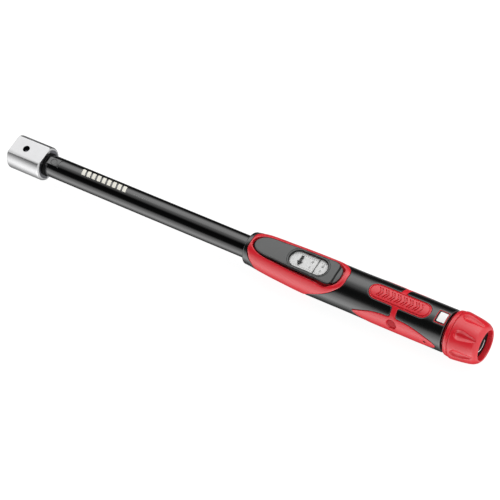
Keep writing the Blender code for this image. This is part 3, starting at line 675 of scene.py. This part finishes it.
def tail_top(x, s, d):
    return np.stack([x, s, 16.9 - 0.12 * (x - 315.2) - 0.015 * s * s - drop(d, 0.4, 0.25)], 1)


def under_tail(x, s, d):
    return np.stack([x, s, np.minimum(COVER_Z, 16.3 - 0.015 * s * s)], 1)


tail_grid = [(315.0, 320.0, -8.0, 8.0, 0.8, 0.9)]
tail_part = panel(tail, tail_top, under_tail, tail_grid, (0.08, 0.25, 0.45))
obj = merged("bezel_tail", [tail_part], GREY, "housing")

gasket = Region([window_outline(0.45), window_outline(-0.05)])


def gasket_top(x, s, d):
    return np.stack([x, s, smooth(BEZEL_TOP, x) - 0.35 - CROWN * s * s - drop(d, 0.25, 0.2)], 1)


obj = merged("window_gasket", [panel(gasket, gasket_top, flat_at(15.9), [], (0.1, 0.3))], DARK_AND_SHADE, "housing")
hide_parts("lens_gasket")


def pane_top(x, s, d):
    return np.stack([x, s, 16.95 - drop(d, 0.6, 0.25)], 1)


pane = panel(Region([window_outline(-0.3)]), pane_top, flat_at(16.1), [(270.0, 306.0, -7.0, 7.0, 2.5, 2.0)],
             (0.1, 0.3, 0.6))
obj = merged("window_pane", [pane], LENS, "housing")
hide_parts("window_lens")

PLATE_TOP = 15.5
# the card is narrower at the rear, where it slides under the bezel's tail
card = fillet([(264.5, -7.85), (300.0, -7.85), (304.0, -7.35), (311.5, -7.35),
               (311.5, 7.35), (304.0, 7.35), (300.0, 7.85), (264.5, 7.85)], 0.8)
card_grid = [(265.0, 311.0, -7.0, 7.0, 3.0, 2.0)]


def card_top(x, s, d):
    return np.stack([x, s, PLATE_TOP - drop(d, 0.3, 0.15)], 1)


card_part = panel(Region([dense(card, 1.0)]), card_top, flat_at(14.3), card_grid, (0.1, 0.3))
obj = merged("scale_card", [card_part], WHITE, "nut")
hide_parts("scale_plate")


def sheet(outline, z0, z1):
    """Thin closed plate from an outline in (x, y)."""
    n = len(outline)
    verts = [(x, y, z) for z in (z0, z1) for x, y in outline]
    faces = [tuple(range(n)), tuple(range(n, 2 * n))]
    faces += [(i, (i + 1) % n, n + (i + 1) % n, n + i) for i in range(n)]
    return verts, faces


def bar(x0, x1, y0, y1):
    return [(x0, y0), (x1, y0), (x1, y1), (x0, y1)]


def digits(text, x, y, size, z):
    """Closed solids of a number on the scale, reading along +Y."""
    curve = bpy.data.curves.new("digits", "FONT")
    curve.body, curve.size, curve.extrude = text, size * MM, 0.03 * MM
    curve.align_x, curve.align_y = "CENTER", "CENTER"
    curve.resolution_u = 3
    holder = place(bpy.data.objects.new("digits", curve))
    graph = bpy.context.evaluated_depsgraph_get()
    mesh = bpy.data.meshes.new_from_object(holder.evaluated_get(graph))
    turn = Matrix.Translation(Vector((x, y, z)) * MM) @ Matrix.Rotation(math.pi / 2, 4, "Z")
    mesh.transform(turn)
    verts = [tuple(v.co / MM) for v in mesh.vertices]
    faces = [tuple(p.vertices) for p in mesh.polygons]
    bpy.data.objects.remove(holder)
    bpy.data.curves.remove(curve)
    bpy.data.meshes.remove(mesh)
    return verts, faces


marks = []
for k in range(23):
    x = 266.5 + 2.0 * k
    reach = 1.6 if k % 5 == 2 else 0.9
    for sign in (1, -1):
        y0, y1 = sorted((sign * 5.9, sign * (5.9 - reach)))
        marks.append(sheet(bar(x - 0.11, x + 0.11, y0, y1), PLATE_TOP - 0.02, PLATE_TOP + 0.05))
for k, text in enumerate(("50", "60", "70", "80")):
    marks.append(digits(text, 270.5 + 10.0 * k, 2.4, 2.7, PLATE_TOP + 0.02))
    marks.append(digits(str(35 + 8 * k), 270.5 + 10.0 * k, -2.6, 2.1, PLATE_TOP + 0.02))
obj = merged("scale_marks", marks, INK, "nut")

MARK_Z, MARK_T = 15.93, 0.12        # the marks under the lens and their thickness
arrow = [(279.0, 4.7), (281.4, 4.7), (281.4, -0.9), (282.9, -1.1), (280.2, -5.2), (277.5, -1.1),
         (279.0, -0.9)]
read_marks = [sheet(outline, MARK_Z, MARK_Z + MARK_T) for outline in (arrow, bar(295.05, 295.65, -7.0, 7.0))]
obj = merged("read_line", read_marks, INK, "housing")

# ---- knob ----
KNOB_SEG = FLUTES * 56


def knob_shape(x, r, angle):
    """The radius of the knob, lowered by hollow flutes that narrow towards the rear."""
    phase = ((angle * FLUTES / (2 * math.pi) + 0.5) % 1.0 - 0.5) * 2 * math.pi / FLUTES * 20.0
    if not 430.0 < x < 448.0 or r < 14.0:
        return r
    width = 4.9 * math.sqrt(1 - max(1 - (x - 429.8) / 5.0, 0.0) ** 2)
    width *= 1 - 0.45 * max((x - 436.0) / 12.0, 0.0)
    across = min(abs(phase) / width, 1.0)
    floor = 17.9 - 0.06 * (x - 430.0) + 2.1 * across ** 2
    over = r - floor
    return r - (over + math.sqrt(over * over + 0.03)) / 2 * (1 - across ** 4)


outside = [(x, r) for x, r in KNOB if x <= 427.2]
body_rows = [row for row in KNOB if row[0] > 426.9]
outside += [(float(x), float(smooth(body_rows, x))) for x in np.arange(427.6, 450.3, 0.35)]
outside += [(450.5, 15.2), (450.85, 14.75), (451.15, 14.3), (451.35, 13.85), (451.4, 13.5), (451.3, 13.2),
            (451.0, 13.0), (450.4, 12.92)]
inside = [(447.1, 12.85), (442.4, 12.85), (442.4, 9.8), (430.5, 9.8), (430.5, 13.9), (422.6, 13.9),
          (422.3, 14.2)]
half_pitch = math.pi / FLUTES
grip = turned(outside + inside, KNOB_SEG, True, lambda x, r, a: knob_shape(x, r, a + half_pitch))
obj = merged("knob_grip", [grip], RED, "knob", 60)
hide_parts("knob")

cap = turned(rounded(442.8, 446.8, 12.5, 0.5), 72, False)
obj = merged("knob_plug", [cap], PLUG, "knob")
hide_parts("knob_cap")


def ring_arrow(radius, width, a0, a1, x):
    """A thin curved arrow on the end of the knob, as a closed plate."""
    steps = 24
    angles = [math.radians(a0 + (a1 - a0) * i / steps) for i in range(steps + 1)]
    outline = [(radius + width / 2, a) for a in angles]
    tip = math.radians(a1 + math.copysign(24, a1 - a0))
    outline += [(radius + width * 1.6, angles[-1]), (radius, tip), (radius - width * 1.6, angles[-1])]
    outline += [(radius - width / 2, a) for a in reversed(angles)]
    n = len(outline)
    verts = [polar(x + t, r, a) for t in (0.0, 0.14) for r, a in outline]
    faces = [(i, (i + 1) % n, n + (i + 1) % n, n + i) for i in range(n)]
    faces += [tuple(range(n)), tuple(range(n, 2 * n))]
    return verts, faces


signs = [ring_arrow(7.0, 0.8, -60, 50, 446.75), ring_arrow(7.0, 0.8, 120, 230, 446.75)]
obj = merged("turn_arrows", signs, WHITE, "knob")


# ---- tube ----
def cutter(low, high):
    """A box that cuts, from one corner to the other."""
    (x0, y0, z0), (x1, y1, z1) = low, high
    return merged("cutter", [sheet(bar(x0, x1, y0, y1), z0, z1)], DARK_AND_SHADE, None)


def drill(cx, radius, z0, z1):
    """A round cutter along Z."""
    return merged("cutter", [sheet(circle(cx, 0.0, radius, 40), z0, z1)], DARK_AND_SHADE, None)


def carve(obj, cutters, bevel):
    """Cut an object with others, then round its sharp edges."""
    for other in cutters:
        mod = obj.modifiers.new("cut", "BOOLEAN")
        mod.operation, mod.solver, mod.object = "DIFFERENCE", "EXACT", other
    mod = obj.modifiers.new("edge", "BEVEL")
    mod.width, mod.segments, mod.limit_method = bevel * MM, 1, "ANGLE"
    mod.angle_limit = math.radians(28)
    mod.use_clamp_overlap = True
    look = obj.data.materials[0]
    graph = bpy.context.evaluated_depsgraph_get()
    mesh = bpy.data.meshes.new_from_object(obj.evaluated_get(graph), depsgraph=graph)
    obj.modifiers.clear()
    obj.data = mesh
    mesh.materials.clear()
    mesh.materials.append(look)
    for other in cutters:
        bpy.data.objects.remove(other)
    for poly in mesh.polygons:
        poly.use_smooth = True
    mesh.set_sharp_from_angle(angle=math.radians(24))


PIN_X = 17.5
TUBE = [(10.7, 8.4), (10.7, TUBE_R), (26.0, TUBE_R), (406.0, TUBE_R), (406.0, 8.0), (11.1, 8.0)]
obj = merged("tube_paint", [turned(TUBE, 96)], PAINT, None)
flats = [cutter((9, -12, 9.4), (23.5, 12, 14)), cutter((9, -12, -14), (23.5, 12, -9.4))]
step = cutter((23.5, -12, 9.0), (24.1, 12, 14))
scale_slot = cutter((231.2, -2.1, 6), (250.8, 2.1, 14))
carve(obj, flats + [step, scale_slot], 0.2)
carve(obj, [drill(PIN_X, 3.05, -12, 12)], 0.02)
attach(obj, "housing")
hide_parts("tube")


def on_tube(radius):
    """A surface round the tube for an outline in (x, arc length)."""
    return lambda x, s, d: np.stack([x, radius * np.sin(s / TUBE_R), radius * np.cos(s / TUBE_R)], 1)


def tube_print(name, outlines, look):
    """Thin closed print on the tube, from outlines in (x, degrees)."""
    parts = []
    for outline in outlines:
        loop = dense([(x, math.radians(a) * TUBE_R) for x, a in outline], 0.8)
        xs, ss = zip(*loop)
        zone = [(min(xs), max(xs), min(ss), max(ss), 2.0, 0.8)]
        parts.append(panel(Region([loop]), on_tube(10.04), on_tube(9.98), zone, ()))
    merged(name, parts, look, "housing")


def slanted(x, width, a0, a1, lean):
    return [(x, a0), (x + width, a0), (x + width + lean, a1), (x + lean, a1)]


bars = [slanted(47.5 + 5.6 * k, 3.6, 28.0, -8.0, 2.0) for k in range(9)]
tube_print("tube_bars", bars, CREAM)
ticks = [slanted(106.5 + 2.2 * k, 0.9, 4.0, -2.5, 0.0) for k in range(8)]
tube_print("tube_ticks", ticks, FAINT)

# ---- dust seal ----
seal = turned([(8.9, 7.3), (8.9, 10.3), (9.1, 10.65), (9.5, 10.8), (9.9, 10.75), (10.25, 10.5), (10.4, 10.2),
               (10.4, 7.3)], 72)
obj = merged("seal_lip", [seal], PLUG, "housing")
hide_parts("dust_seal")

# ---- head ----
HEAD_X0, HEAD_X1, HEAD_R, HEAD_Z = -28.0, 8.0, 15.7, 12.35
SOCKET_Y, SOCKET_Z = 9.0, 7.0       # half the opening for the insert tool
LATCH_X, LATCH_R = -13.0, 3.3
block = [(HEAD_X0, 0.0)] + rounded(HEAD_X0, HEAD_X1, HEAD_R, 0.9)[:5]
block += rounded(HEAD_X0, HEAD_X1, HEAD_R, 2.2, 6)[7:] + [(HEAD_X1, 0.0)]
block = [(x, max(r, 0.01)) for x, r in block]
obj = merged("head_block", [turned(block, 128, False)], CHROME, None)
cheeks = [cutter((-30, -20, HEAD_Z), (9, 20, 20)), cutter((-30, -20, -20), (9, 20, -HEAD_Z))]
socket = cutter((-29, -SOCKET_Y, -SOCKET_Z), (0, SOCKET_Y, SOCKET_Z))
carve(obj, cheeks + [socket, drill(LATCH_X, LATCH_R, -20, 20)], 0.35)
# the walls of the socket and of the latch hole take the dark steel: painted shade inside them
obj.data.materials.append(BLUED_AND_SHADE)
for poly in obj.data.polygons:
    x, y, z = poly.center / MM
    in_socket = abs(y) < SOCKET_Y + 0.1 and abs(z) < SOCKET_Z + 0.1 and x > HEAD_X0 + 0.2
    in_hole = math.hypot(x - LATCH_X, y) < LATCH_R + 0.05 and abs(z) < HEAD_Z - 0.1
    if in_socket or in_hole:
        poly.material_index = 1
neck_profile = [(7.0, 0.01), (7.0, 6.6), (27.0, 6.6), (34.0, 5.0), (34.0, 0.01)]
neck = merged("head_lever", [turned(neck_profile, 64, False)], STEEL, None)
lever = [(30.0, 4.4), (34.0, 4.2), (60.0, 3.8), (82.8, 3.6)]
outline = [(x, -h) for x, h in lever] + [(x, h) for x, h in reversed(lever)]
blade = merged("blade", [sheet(outline, -3.8, 3.8)], STEEL, None)
carve(blade, [drill(84.3, 2.8, -5, 5)], 0.15)
carve(neck, [drill(PIN_X, 3.1, -10, 10)], 0.15)
for part in (obj, neck, blade):
    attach(part, "head")
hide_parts("head")

# ---- parts that keep their CAD shape ----
looks = {"pivot_pin": PAINT, "main_spring": BLUED_AND_SHADE, "thrust_ball_cage": BRASS, "end_bush": BRASS,
         "retaining_ring": BLUED_AND_SHADE, "core_set_screw": DARK_AND_SHADE, "load_nut": BLUED_AND_SHADE, "stop_screw": BLUED_AND_SHADE,
         "lock_ring": RUBBER, "knob_o_ring": DARK_AND_SHADE}
for name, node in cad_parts.items():
    node.data.materials.clear()
    node.data.materials.append(looks.get(name, STEEL))

# ---- stage, light and camera ----
FLOOR_X, FLOOR_Z = 0.2, -20.45 * MM
profile = [(0.01, 0.0), (2.6, 0.0), (3.1, 0.06), (3.5, 0.3), (3.8, 0.8), (3.9, 1.6), (3.9, 4.2)]
seg = 64
turn_steps = [2 * math.pi * j / seg for j in range(seg)]
verts = [(r * math.cos(a) + FLOOR_X, r * math.sin(a), z + FLOOR_Z) for r, z in profile for a in turn_steps]
faces = [(i * seg + j, i * seg + (j + 1) % seg, (i + 1) * seg + (j + 1) % seg, (i + 1) * seg + j)
         for i in range(len(profile) - 1) for j in range(seg)] + [tuple(range(seg))]
mesh = bpy.data.meshes.new("floor")
mesh.from_pydata(verts, [], faces)
floor = place(bpy.data.objects.new("floor", mesh))
paper = bpy.data.materials.new("paper")
paper.use_nodes = True
shader = paper.node_tree.nodes["Principled BSDF"]
shader.inputs["Base Color"].default_value = (0.2, 0.2, 0.2, 1.0)
shader.inputs["Roughness"].default_value = 0.9
shader.inputs["Specular IOR Level"].default_value = 0.0
shader.inputs["Emission Color"].default_value = (1.0, 1.0, 1.0, 1.0)
shader.inputs["Emission Strength"].default_value = 0.93
mesh.materials.append(paper)
for ray in ("diffuse", "glossy", "transmission", "shadow", "volume_scatter"):
    setattr(floor, "visible_" + ray, False)

# brightness of the sky by its angle round the tool: 0 is straight up, + towards +Y
SKY = [(-180, 0.1), (-168, 0.1), (-153, 0.3), (-138, 0.9), (-117, 2.25), (-105, 2.08), (-81, 1.2),
       (-60, 0.02), (-20, 0.01), (3, 0.65), (25, 1.9), (48, 2.0), (64, 1.2), (75, 0.2), (87, 0.01),
       (109, 0.02), (135, 0.4), (150, 0.4), (166, 0.16), (180, 0.1)]
SKY_TOP = 3.0                       # the brightest level that the ramp can hold
world = bpy.data.worlds.new("sky")
world.use_nodes = True
tree = world.node_tree
coord = tree.nodes.new("ShaderNodeTexCoord")
split = tree.nodes.new("ShaderNodeSeparateXYZ")
turn = tree.nodes.new("ShaderNodeMath")
turn.operation = "ARCTAN2"
share = tree.nodes.new("ShaderNodeMapRange")
share.inputs["From Min"].default_value = -math.pi
share.inputs["From Max"].default_value = math.pi
tones = tree.nodes.new("ShaderNodeValToRGB")
tones.color_ramp.interpolation = "EASE"
stops = tones.color_ramp.elements
for i, (angle, level) in enumerate(SKY):
    spot = (angle + 180.0) / 360.0
    stop = stops[i] if i < 2 else stops.new(spot)
    stop.position = spot
    tone = level / SKY_TOP
    stop.color = (tone, tone, tone, 1.0)
link(tree, coord.outputs["Generated"], split.inputs["Vector"])
link(tree, split.outputs["Y"], turn.inputs[0])
link(tree, split.outputs["Z"], turn.inputs[1])
link(tree, turn.outputs["Value"], share.inputs["Value"])
link(tree, share.outputs["Result"], tones.inputs["Fac"])
rear = tree.nodes.new("ShaderNodeMapRange")     # the knob end of the sky is brighter
rear.inputs["From Min"].default_value, rear.inputs["From Max"].default_value = -0.15, 0.25
rear.inputs["To Min"].default_value, rear.inputs["To Max"].default_value = SKY_TOP, 1.5 * SKY_TOP
link(tree, split.outputs["X"], rear.inputs["Value"])
behind = tree.nodes.new("ShaderNodeMapRange")   # and it closes with an even bright panel
behind.inputs["From Min"].default_value, behind.inputs["From Max"].default_value = 0.3, 0.55
end_panel = tree.nodes.new("ShaderNodeMix")
end_panel.data_type = "RGBA"
end_panel.inputs["B"].default_value = (0.25, 0.25, 0.25, 1.0)
link(tree, split.outputs["X"], behind.inputs["Value"])
link(tree, behind.outputs["Result"], end_panel.inputs["Factor"])
link(tree, tones.outputs["Color"], end_panel.inputs["A"])
link(tree, end_panel.outputs["Result"], tree.nodes["Background"].inputs["Color"])
link(tree, rear.outputs["Result"], tree.nodes["Background"].inputs["Strength"])
bpy.context.scene.world = world
bpy.context.scene.view_settings.view_transform = "Standard"

camera_data = bpy.data.cameras.new("camera")
camera_data.lens, camera_data.sensor_width = 136.34, 36.0
camera_data.clip_start, camera_data.clip_end = 0.05, 50.0
camera = place(bpy.data.objects.new("camera", camera_data))
back = Vector((0.43779, -0.38043, 0.81462)).normalized()
up = Vector((-0.34523, 0.76547, 0.54301))
right = up.cross(back).normalized()
up = back.cross(right)
camera.matrix_world = Matrix.Translation(Vector((0.92876, -0.61175, 1.30621))) @ Matrix(
    (right, up, back)).transposed().to_4x4()
bpy.context.scene.camera = camera
